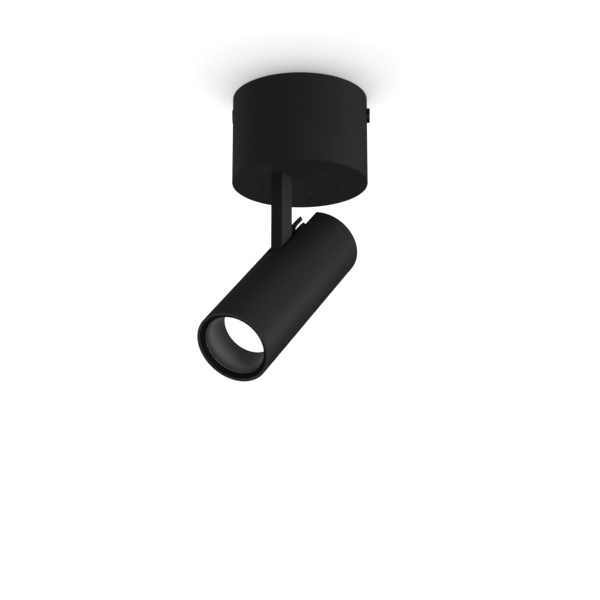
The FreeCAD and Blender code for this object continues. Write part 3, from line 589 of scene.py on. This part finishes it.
class SpotlightFinishSettings(PropertyGroup):
    """Colours and gloss of the finishes."""

    paint_colour: paint("Paint", "Colour of the canopy's and the disc's powder paint",
                        (0.0188, 0.0188, 0.0188))
    paint_roughness: fraction("Paint roughness", "Roughness of the powder paint", 0.45)
    paint_grain: length("Paint grain", "Size of the orange peel in the powder paint", 0.8)
    paint_depth: length("Paint relief", "Depth of the orange peel in the powder paint", 0.008)
    head_colour: paint("Head paint", "Colour of the head tube's powder paint", (0.0210, 0.0210, 0.0210))
    # The arm's paint is darker than the canopy's as painted shade on its faces.
    arm_shaded_colour: paint("Arm paint", "Colour of the arm's powder paint", (0.0150, 0.0150, 0.0150))
    arm_roughness: fraction("Arm roughness", "Roughness of the arm's paint", 0.45)
    reflector_colour: paint("Reflector", "Colour of the dark glossy reflector", (0.0205, 0.0195, 0.0194))
    reflector_roughness: fraction("Reflector roughness", "Roughness of the reflector's gloss", 0.36)
    ring_colour: paint("Ring", "Colour of the matt ring in front of the reflector",
                       (0.0060, 0.0060, 0.0062))
    lens_colour: paint("Lens", "Colour of the opal lens and of its light", (1.0, 0.99, 0.975))
    lens_glow: brightness("Lens glow", "Strength of the light that the opal lens gives", 0.97)


class SpotlightOpticSettings(PropertyGroup):
    """Sizes of the reflector and the lens, measured in the head's own axes."""

    cup_radius: length("Cup radius", "Radius of the reflector at its front edge", 22.0)
    cup_front: length("Cup front", "Distance from the head's front to the reflector's edge", 3.0)
    cup_nose: length("Cup edge", "Radius of the reflector's round front edge", 0.15)
    cup_wall: length("Cup wall", "Thickness of the reflector's wall", 0.8)
    cup_bulge: length("Cup bell", "How far the reflector's wall bows outwards halfway", 1.25)
    flange_radius: length("Ring radius", "Outer radius of the dark ring in front of the cup", 24.15)
    flange_front: length("Ring front", "Distance from the head's front to the dark ring", 1.65)
    flange_back: length("Ring back", "Distance from the head's front to the ring's rear", 3.95)
    lip_radius: length("Ring lip radius", "Radius of the dark ring at the head's front", 24.98)
    lip_front: length("Ring lip front", "Distance from the head's front to the ring's lip", 0.15)
    ring_edge: length("Ring edge", "Radius of the dark ring's corners", 0.06)
    stack_gap: length("Rear flange inset", "How much smaller the reflector's rear flange is", 0.4)
    lens_gap: length("Lens gap", "Gap between the reflector and the lens", 0.05)
    lens_radius: length("Lens radius", "Radius of the lens as seen inside the reflector", 19.6)
    lens_seat: length("Lens seat", "Width of the lens's rim behind the reflector", 1.9)
    lens_depth: length("Lens depth", "Distance from the head's front to the lens", 26.1)
    lens_thickness: length("Lens thickness", "Thickness of the opal lens", 1.5)
    lens_edge: length("Lens edge", "How far the lens's soft edge is rounded inwards", 0.2)
    lens_crown: length("Lens crown", "How far the lens's front bows to the rear in the middle", 0.25)
    round_steps: IntProperty(name="Steps round", description="Facets round the reflector and the lens",
                             min=24, max=720, default=240)


class SpotlightScrewSettings(PropertyGroup):
    """Sizes and places of the screws that show."""

    side_angle: angle("Side screw angle", "Where the near side screw sits round the canopy", 125.5)
    side_drop: length("Side screw drop", "Distance from the ceiling to the side screws", 12.8)
    side_head: length("Side screw head", "Radius of the side screws' heads", 5.5)
    side_sink: length("Side screw seat", "How deep the heads sit in the canopy", 0.5)
    side_edge: length("Side screw edge", "Radius of the heads' round edges", 0.25)
    near_proud: length("Near screw height", "How far the near head stands out", 2.0)
    far_proud: length("Far screw height", "How far the far head stands out", 0.3)
    side_seat: length("Side screw reach", "Distance from the canopy's middle to the heads", 49.5)
    side_shank: length("Side screw thread", "Radius of the side screws' threads", 2.5)
    side_length: length("Side screw length", "Length of the side screws' threads", 10.0)
    side_pitch: length("Side screw pitch", "Pitch of the side screws' threads", 0.8)
    side_socket: length("Side screw socket", "Width of the hexagon sockets", 3.0)
    side_socket_depth: length("Side socket depth", "Depth of the hexagon sockets", 1.2)
    small_shank: length("Small screw radius", "Radius of the lock screw and the grub screw", 1.5)
    small_edge: length("Small screw edge", "Radius of the small screws' outer edges", 0.2)
    small_pitch: length("Small screw pitch", "Pitch of the small screws' threads", 0.5)
    small_socket: length("Small screw socket", "Width and depth of the small sockets", 1.5)
    lock_angle: angle("Lock screw angle", "Where the lock screw sits round the canopy", -157.8)
    lock_circle: length("Lock screw circle", "Distance of the lock screw from the middle", 30.5)
    lock_low: length("Lock screw face", "Height of the lock screw's lower face", -66.4)
    lock_length: length("Lock screw length", "Length of the lock screw", 3.85)
    grub_seat: length("Grub screw reach", "Distance from the head's axis to the grub screw's edge", 26.8)
    grub_length: length("Grub screw length", "Length of the grub screw", 8.0)
    grub_along: length("Grub screw place", "Distance from the head's front to the grub screw", 42.0)


# Operators: one for each piece or group of like pieces.

class SPOTLIGHT_OT_canopy_finish(Operator):
    """Gives the canopy and the turning disc their black powder paint"""

    bl_idname = "spotlight.canopy_finish"
    bl_label = "Canopy and Disc Finish"

    def execute(self, context):
        s = context.scene.spotlight_finish
        # The canopy's paint carries painted shade on its rounded rim.
        dress("canopy_paint", powder_coat("canopy_powder", tuple(s.paint_colour), s.paint_roughness,
                                          s.paint_grain, s.paint_depth, rim=True))
        return {"FINISHED"}


class SPOTLIGHT_OT_head_finish(Operator):
    """Gives the arm and the head tube their black powder paint"""

    bl_idname = "spotlight.head_finish"
    bl_label = "Arm and Head Finish"

    def execute(self, context):
        s = context.scene.spotlight_finish
        dress("head_paint", powder_coat("head_powder", tuple(s.head_colour), s.paint_roughness,
                                        s.paint_grain, s.paint_depth))
        # The arm's darker paint is painted shade.
        dress("arm_paint", powder_coat("arm_powder_shaded", tuple(s.arm_shaded_colour), s.arm_roughness,
                                       s.paint_grain, s.paint_depth, ARM_SPECULAR))
        return {"FINISHED"}


class SPOTLIGHT_OT_metal_finish(Operator):
    """Gives screws, plates, springs, terminals and the heat sink their bare metals"""

    bl_idname = "spotlight.metal_finish"
    bl_label = "Metal Finishes"

    def execute(self, context):
        for slot, *finish in METALS:
            dress(slot, bare_metal(*finish))
        return {"FINISHED"}


class SPOTLIGHT_OT_plastic_finish(Operator):
    """Gives the plastic, rubber, board and phosphor pieces their finishes"""

    bl_idname = "spotlight.plastic_finish"
    bl_label = "Plastic and Rubber Finishes"

    def execute(self, context):
        for slot, *finish in PLASTICS:
            dress(slot, moulded(*finish))
        dress("circuit_board", circuit("solder_mask", BOARD_COLOUR))
        dress("led_phosphor", phosphor("phosphor_dots", PHOSPHOR_COLOUR))
        return {"FINISHED"}


class SPOTLIGHT_OT_optic_finish(Operator):
    """Gives the reflector its dark gloss and the lens its glow"""

    bl_idname = "spotlight.optic_finish"
    bl_label = "Reflector and Lens Finish"

    def execute(self, context):
        s = context.scene.spotlight_finish
        moulded("dark_matt", tuple(s.ring_colour), RING_ROUGHNESS, RING_SPECULAR, RING_GRAIN, RING_RELIEF)
        dress("dark_reflector", cup_gloss_painted_light("dark_gloss_painted_light", tuple(s.reflector_colour),
                                          s.reflector_roughness, context.scene.spotlight_optic))
        dress("opal_lens", opal("opal_glow", tuple(s.lens_colour), s.lens_glow))
        return {"FINISHED"}


class SPOTLIGHT_OT_lens(Operator):
    """Turns the slightly bowed opal lens with its soft rim"""

    bl_idname = "spotlight.lens"
    bl_label = "Opal Lens"

    def execute(self, context):
        s = context.scene.spotlight_optic
        points = in_head(turned_ring(lens_section(s), s.round_steps))
        piece = capped_piece("lens_disc", points, bpy.data.materials["opal_glow"])
        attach(piece, "head")
        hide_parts("lens")
        return {"FINISHED"}


class SPOTLIGHT_OT_reflector(Operator):
    """Turns the belled reflector cup and the dark ring in front of it"""

    bl_idname = "spotlight.reflector"
    bl_label = "Reflector Cup and Ring"

    def execute(self, context):
        s = context.scene.spotlight_optic
        for name, section, finish in (("reflector_cup", bell_cup(s), "dark_gloss_painted_light"),
                                      ("reflector_ring", front_ring(s), "dark_matt")):
            points = in_head(turned_ring(section, s.round_steps))
            piece = ring_piece(name, points, bpy.data.materials[finish])
            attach(piece, "head")
            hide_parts("reflector")
        return {"FINISHED"}


def screw_piece(name, node, rings, material, body):
    """Puts one screw of turned rings in place of its node."""
    piece = capped_piece(name, rings, bpy.data.materials[material])
    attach(piece, body)
    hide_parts(node)


class SPOTLIGHT_OT_side_screws(Operator):
    """Cuts the two side screws with their round edges, hexagon sockets and threads"""

    bl_idname = "spotlight.side_screws"
    bl_label = "Side Screws"

    def execute(self, context):
        s = context.scene.spotlight_screws
        for name, proud, side, finish, slot in (
                ("near", s.near_proud, 0.0, "black_oxide", "black_steel"),
                ("far", s.far_proud, math.pi, "canopy_powder", "canopy_paint")):
            rings = axis_to_x(socket_screw(
                s.side_head, s.side_sink + proud, s.side_edge, s.side_shank, s.side_length,
                s.side_socket, s.side_socket_depth, s.side_pitch))
            rings += np.array([s.side_seat, 0.0, -s.side_drop])
            screw_piece("side_screw_" + name + "_turned", "side_screw_" + name,
                        about_z(rings, s.side_angle + side), finish, "canopy")
        return {"FINISHED"}


class SPOTLIGHT_OT_small_screws(Operator):
    """Cuts the lock screw in the canopy's floor and the grub screw under the head"""

    bl_idname = "spotlight.small_screws"
    bl_label = "Lock Screw and Grub Screw"

    def execute(self, context):
        s = context.scene.spotlight_screws
        cap = s.small_edge * 2
        top = (s.small_shank, cap, s.small_edge, s.small_shank)
        bottom = (s.small_socket, s.small_socket, s.small_pitch)
        lock = socket_screw(*top, s.lock_length - cap, *bottom)
        lock = lock * np.array([1, -1, -1]) + np.array([s.lock_circle, 0, s.lock_low + cap])
        screw_piece("pan_lock_screw_cut", "pan_lock_screw", about_z(lock, s.lock_angle),
                    "black_oxide", "canopy")
        grub = axis_to_x(socket_screw(*top, s.grub_length - cap, *bottom))
        grub = about_z(grub + np.array([s.grub_seat, 0, 0]), math.pi) + np.array([0, 0, s.grub_along])
        screw_piece("head_grub_screw_cut", "head_grub_screw", in_head(grub),
                    "black_oxide", "head")
        return {"FINISHED"}


# Camera, light and stage.

PHOTO_RIGHT = np.array([-0.6004, 0.7997, 0.0])
TO_CAMERA = np.array([0.7997, 0.6004, 0.0])
UPWARDS = np.array([0.0, 0.0, 1.0])

# What the big softboxes look at.
AIM = (0.0, 0.0, -0.12)
# Where the softboxes stand and the room's glows come from, to the photo's right, towards the camera
# and up. An offset is counted from what its softbox lights.
RIGHT_PLACE, FRONT_PLACE, LOW_PLACE = (1.4, 0.0, -0.3), (1.2, 0.6, -0.5), (0.3, 1.2, -1.0)
ARM_PLACE, CUP_OFFSET, REAR_OFFSET = (1.4, 0.5, -0.1), (0.48, 0.78, -0.10), (-0.08, 0.40, 0.12)
GLOWS = {
    "left_low_glow": (-1, 0, -0.7),
    "right_high_glow": (1, 0, 0.7),
    "front_high_glow": (0, 1, 0.7),
    "left_back_glow": (-1, -1, 0),
    "top_glow": (0, 0, 1),
}
# How narrow the glows are, and how often the ceiling's shade is sampled.
GLOW_POWER = 3.0
SHADE_SAMPLES = 8


def photo_way(right, nearer, up):
    """A way that is so far to the photo's right, towards the camera and up."""
    return PHOTO_RIGHT * right + TO_CAMERA * nearer + UPWARDS * up


class SpotlightStageSettings(PropertyGroup):
    """The studio around the light."""

    camera_place: FloatVectorProperty(
        name="Camera place", description="Where the camera stands", subtype="XYZ", unit="LENGTH",
        size=3, default=(0.9389, 0.7050, -0.51815))
    camera_pitch: angle("Camera pitch", "How far the camera looks up", 17.135)
    camera_heading: angle("Camera heading", "Turn of the camera about the vertical", 126.9)
    camera_lens: FloatProperty(
        name="Camera lens", description="Focal length of the camera", subtype="DISTANCE_CAMERA",
        unit="CAMERA", min=20, max=300, default=102.25)
    ceiling_reach: length("Ceiling reach", "Half the side of the ceiling and the floor", 60000.0)
    ceiling_gap: length("Ceiling gap", "How far the ceiling lies above the canopy", 0.2)
    ceiling_level: brightness("Ceiling level", "Brightness of the ceiling where nothing shades it", 1.215)
    shade_depth: fraction("Shade depth", "How much of the ceiling's light covered sides take", 0.842)
    near_depth: fraction("Near shade", "How much more of it what stands close takes", 0.12)
    near_reach: length("Near reach", "Within what distance something stands close", 30.0)
    shade_lean: angle("Shade lean", "How far the ceiling's light leans to the camera's side", 45.0)
    floor_drop: length("Floor drop", "Distance from the ceiling to the floor", 2400.0)
    floor_level: brightness("Floor level", "Brightness of the pale floor", 0.88)
    softbox_size: length("Softbox size", "Side of each big square softbox", 800.0)
    right_power: power("Right softbox", "Power of the softbox on the right", 3.7)
    front_power: power("Front softbox", "Power of the softbox at the front on the right", 5.2)
    low_power: power("Low softbox", "Power of the softbox low at the front", 7.0)
    arm_power: power("Arm softbox", "Power of the softbox that lights the arm alone", 8.0)
    cup_size: length("Cup softbox size", "Side of the softbox that lights the reflector", 250.0)
    cup_power: power("Cup softbox", "Power of the softbox that lights the reflector alone", 25.5)
    head_rear: length("Head rear", "Where along the head the small softbox aims", 130.0)
    rear_size: length("Rear softbox size", "Side of the small softbox at the head's rear", 80.0)
    rear_power: power("Rear softbox", "Power of the softbox that lights the head's rear alone", 0.2)
    even_light: brightness("Even light", "Strength of the light that is alike from all round", 0.02)
    left_low_glow: brightness("Left low glow", "Broad light from the left and below", 0.61)
    right_high_glow: brightness("Right high glow", "Broad light from the right and above", 0.225)
    front_high_glow: brightness("Front high glow", "Broad light from the front and above", 0.153)
    left_back_glow: brightness("Left back glow", "Broad light from the left behind", 0.129)
    top_glow: brightness("Top glow", "Broad light from above", 0.045)


def stage_white(name, level, shade_depth=0.0, shade_lean=0.0, near_depth=0.0, near_reach=0.0):
    """An even glow that the camera sees from its front and looks through from its back.

    With a shade depth, the glow falls by that much of the share of its open side that is covered,
    as under a wide light from below that leans to the camera's side. The near depth takes away more
    where something stands within the near reach.
    """
    material = bpy.data.materials.new(name)
    material.use_nodes = True
    tree = material.node_tree
    tree.nodes.remove(tree.nodes["Principled BSDF"])
    glow = tree.nodes.new("ShaderNodeEmission")
    glow.inputs["Strength"].default_value = level
    if shade_depth:
        towards = tree.nodes.new("ShaderNodeCombineXYZ")
        leaning = -TO_CAMERA * math.sin(shade_lean) - UPWARDS * math.cos(shade_lean)
        for axis, value in zip("XYZ", leaning):
            towards.inputs[axis].default_value = value
        lit = level * (1 - shade_depth - near_depth)
        for reach, depth in ((0.0, shade_depth), (near_reach, near_depth)):
            open_share = tree.nodes.new("ShaderNodeAmbientOcclusion")
            open_share.samples = SHADE_SAMPLES
            if reach:
                open_share.inputs["Distance"].default_value = reach
            tree.links.new(towards.outputs["Vector"], open_share.inputs["Normal"])
            lit = maths(tree, "MULTIPLY_ADD", open_share.outputs["AO"], level * depth, lit)
        tree.links.new(lit, glow.inputs["Strength"])
    clear = tree.nodes.new("ShaderNodeBsdfTransparent")
    side = tree.nodes.new("ShaderNodeNewGeometry")
    mix = tree.nodes.new("ShaderNodeMixShader")
    tree.links.new(side.outputs["Backfacing"], mix.inputs["Fac"])
    tree.links.new(glow.outputs["Emission"], mix.inputs[1])
    tree.links.new(clear.outputs["BSDF"], mix.inputs[2])
    tree.links.new(mix.outputs["Shader"], tree.nodes["Material Output"].inputs["Surface"])
    return material


def stage_sheet(name, height, reach, facing_down, material):
    """A flat square of the stage at a height, which only the camera sees."""
    side = reach * np.array([[-1, -1], [1, -1], [1, 1], [-1, 1]])
    verts = np.column_stack([side, np.full(len(side), height)])
    order = np.array([[0, 3, 2, 1]]) if facing_down else np.array([[0, 1, 2, 3]])
    sheet = mesh_piece(name, verts, order, material, smooth=False)
    for hidden in ("visible_diffuse", "visible_glossy", "visible_transmission", "visible_shadow"):
        setattr(sheet, hidden, False)


def softbox(name, place, aim, size, watts, only=()):
    """A square soft light that looks at a point, isn't seen itself and may light some pieces alone."""
    data = bpy.data.lights.new(name, "AREA")
    data.size = size
    data.energy = watts
    light = bpy.data.objects.new(name, data)
    bpy.context.scene.collection.objects.link(light)
    light.location = place
    light.rotation_euler = (Vector(aim) - Vector(place)).to_track_quat("-Z", "Y").to_euler()
    light.visible_camera = False
    if only:
        lit = bpy.data.collections.new(name + "_lit")
        for piece in only:
            lit.objects.link(piece)
        light.light_linking.receiver_collection = lit


def room_light(world, even, glows):
    """Lights the room evenly and with broad glows, each a power of the cosine from its direction.

    The camera itself sees plain white.
    """
    world.use_nodes = True
    tree = world.node_tree
    direction = tree.nodes.new("ShaderNodeTexCoord").outputs["Generated"]
    total = even
    for towards, strength in glows:
        facing = tree.nodes.new("ShaderNodeVectorMath")
        facing.operation = "DOT_PRODUCT"
        facing.inputs[1].default_value = towards / np.linalg.norm(towards)
        tree.links.new(direction, facing.inputs[0])
        lit = maths(tree, "MAXIMUM", facing.outputs["Value"], 0.0)
        total = maths(tree, "MULTIPLY_ADD", maths(tree, "POWER", lit, GLOW_POWER), strength, total)
    path = tree.nodes.new("ShaderNodeLightPath")
    level = tree.nodes.new("ShaderNodeMapRange")
    tree.links.new(path.outputs["Is Camera Ray"], level.inputs["Value"])
    tree.links.new(total, level.inputs["To Min"])
    ground = tree.nodes["Background"]
    ground.inputs["Color"].default_value = (1, 1, 1, 1)
    tree.links.new(level.outputs["Result"], ground.inputs["Strength"])


class SPOTLIGHT_OT_stage(Operator):
    """Sets up the ceiling, the floor, the softboxes, the room light and the camera"""

    bl_idname = "spotlight.stage"
    bl_label = "Studio Stage"

    def execute(self, context):
        s = context.scene.spotlight_stage
        ceiling = stage_white("ceiling_white", s.ceiling_level, s.shade_depth, s.shade_lean,
                              s.near_depth, s.near_reach)
        stage_sheet("ceiling_sheet", s.ceiling_gap, s.ceiling_reach, True, ceiling)
        floor = stage_white("floor_white", s.floor_level)
        stage_sheet("floor_sheet", -s.floor_drop, s.ceiling_reach, False, floor)
        cup, arm = bpy.data.objects["reflector_cup"], frame["nodes"]["arm"]
        shell = frame["nodes"]["head_shell"]
        mouth, rear = in_head(np.array([[0.0, 0.0, 0.0], [0.0, 0.0, s.head_rear]]))
        big = s.softbox_size
        softbox("softbox_right", photo_way(*RIGHT_PLACE), AIM, big, s.right_power)
        softbox("softbox_front", photo_way(*FRONT_PLACE), AIM, big, s.front_power)
        softbox("softbox_low", photo_way(*LOW_PLACE), AIM, big, s.low_power)
        softbox("softbox_cup", mouth + photo_way(*CUP_OFFSET), mouth, s.cup_size, s.cup_power, [cup])
        softbox("softbox_arm", photo_way(*ARM_PLACE), AIM, big, s.arm_power, [arm])
        softbox("softbox_rear", rear + photo_way(*REAR_OFFSET), rear, s.rear_size, s.rear_power, [shell])
        world = bpy.data.worlds.new("studio")
        context.scene.world = world
        room_light(world, s.even_light, [(photo_way(*way), getattr(s, glow)) for glow, way in GLOWS.items()])
        context.scene.view_settings.view_transform = "Standard"
        camera = bpy.data.objects.new("camera", bpy.data.cameras.new("camera"))
        context.scene.collection.objects.link(camera)
        camera.location = s.camera_place
        camera.rotation_euler = (math.pi / 2 + s.camera_pitch, 0, s.camera_heading)
        camera.data.lens = s.camera_lens
        context.scene.camera = camera
        return {"FINISHED"}


STEPS = (
    SPOTLIGHT_OT_canopy_finish,
    SPOTLIGHT_OT_head_finish,
    SPOTLIGHT_OT_metal_finish,
    SPOTLIGHT_OT_plastic_finish,
    SPOTLIGHT_OT_optic_finish,
    SPOTLIGHT_OT_lens,
    SPOTLIGHT_OT_reflector,
    SPOTLIGHT_OT_side_screws,
    SPOTLIGHT_OT_small_screws,
    SPOTLIGHT_OT_stage,
)

SETTINGS = {
    "spotlight_finish": SpotlightFinishSettings,
    "spotlight_optic": SpotlightOpticSettings,
    "spotlight_screws": SpotlightScrewSettings,
    "spotlight_stage": SpotlightStageSettings,
}


class SPOTLIGHT_PT_panel(Panel):
    """Lists the light's pieces and their settings in the sidebar"""

    bl_idname = "SPOTLIGHT_PT_panel"
    bl_label = "Ceiling Spotlight"
    bl_space_type = "VIEW_3D"
    bl_region_type = "UI"
    bl_category = "Spotlight"

    def draw(self, context):
        for step in STEPS:
            self.layout.operator(step.bl_idname)
        for name, group in SETTINGS.items():
            for setting in group.__annotations__:
                self.layout.prop(getattr(context.scene, name), setting)


def register():
    """Registers the settings, the operators and the panel."""
    for kind in (*SETTINGS.values(), *STEPS, SPOTLIGHT_PT_panel):
        bpy.utils.register_class(kind)
    for name, group in SETTINGS.items():
        setattr(bpy.types.Scene, name, PointerProperty(type=group))


def unregister():
    """Takes the settings, the operators and the panel out again."""
    for name in SETTINGS:
        delattr(bpy.types.Scene, name)
    for kind in (SPOTLIGHT_PT_panel, *reversed(STEPS), *SETTINGS.values()):
        bpy.utils.unregister_class(kind)


def main():
    """Makes every piece in order."""
    register()
    for step in STEPS:
        group, name = step.bl_idname.split(".")
        getattr(getattr(bpy.ops, group), name)()


if __name__ == "__main__":
    main()
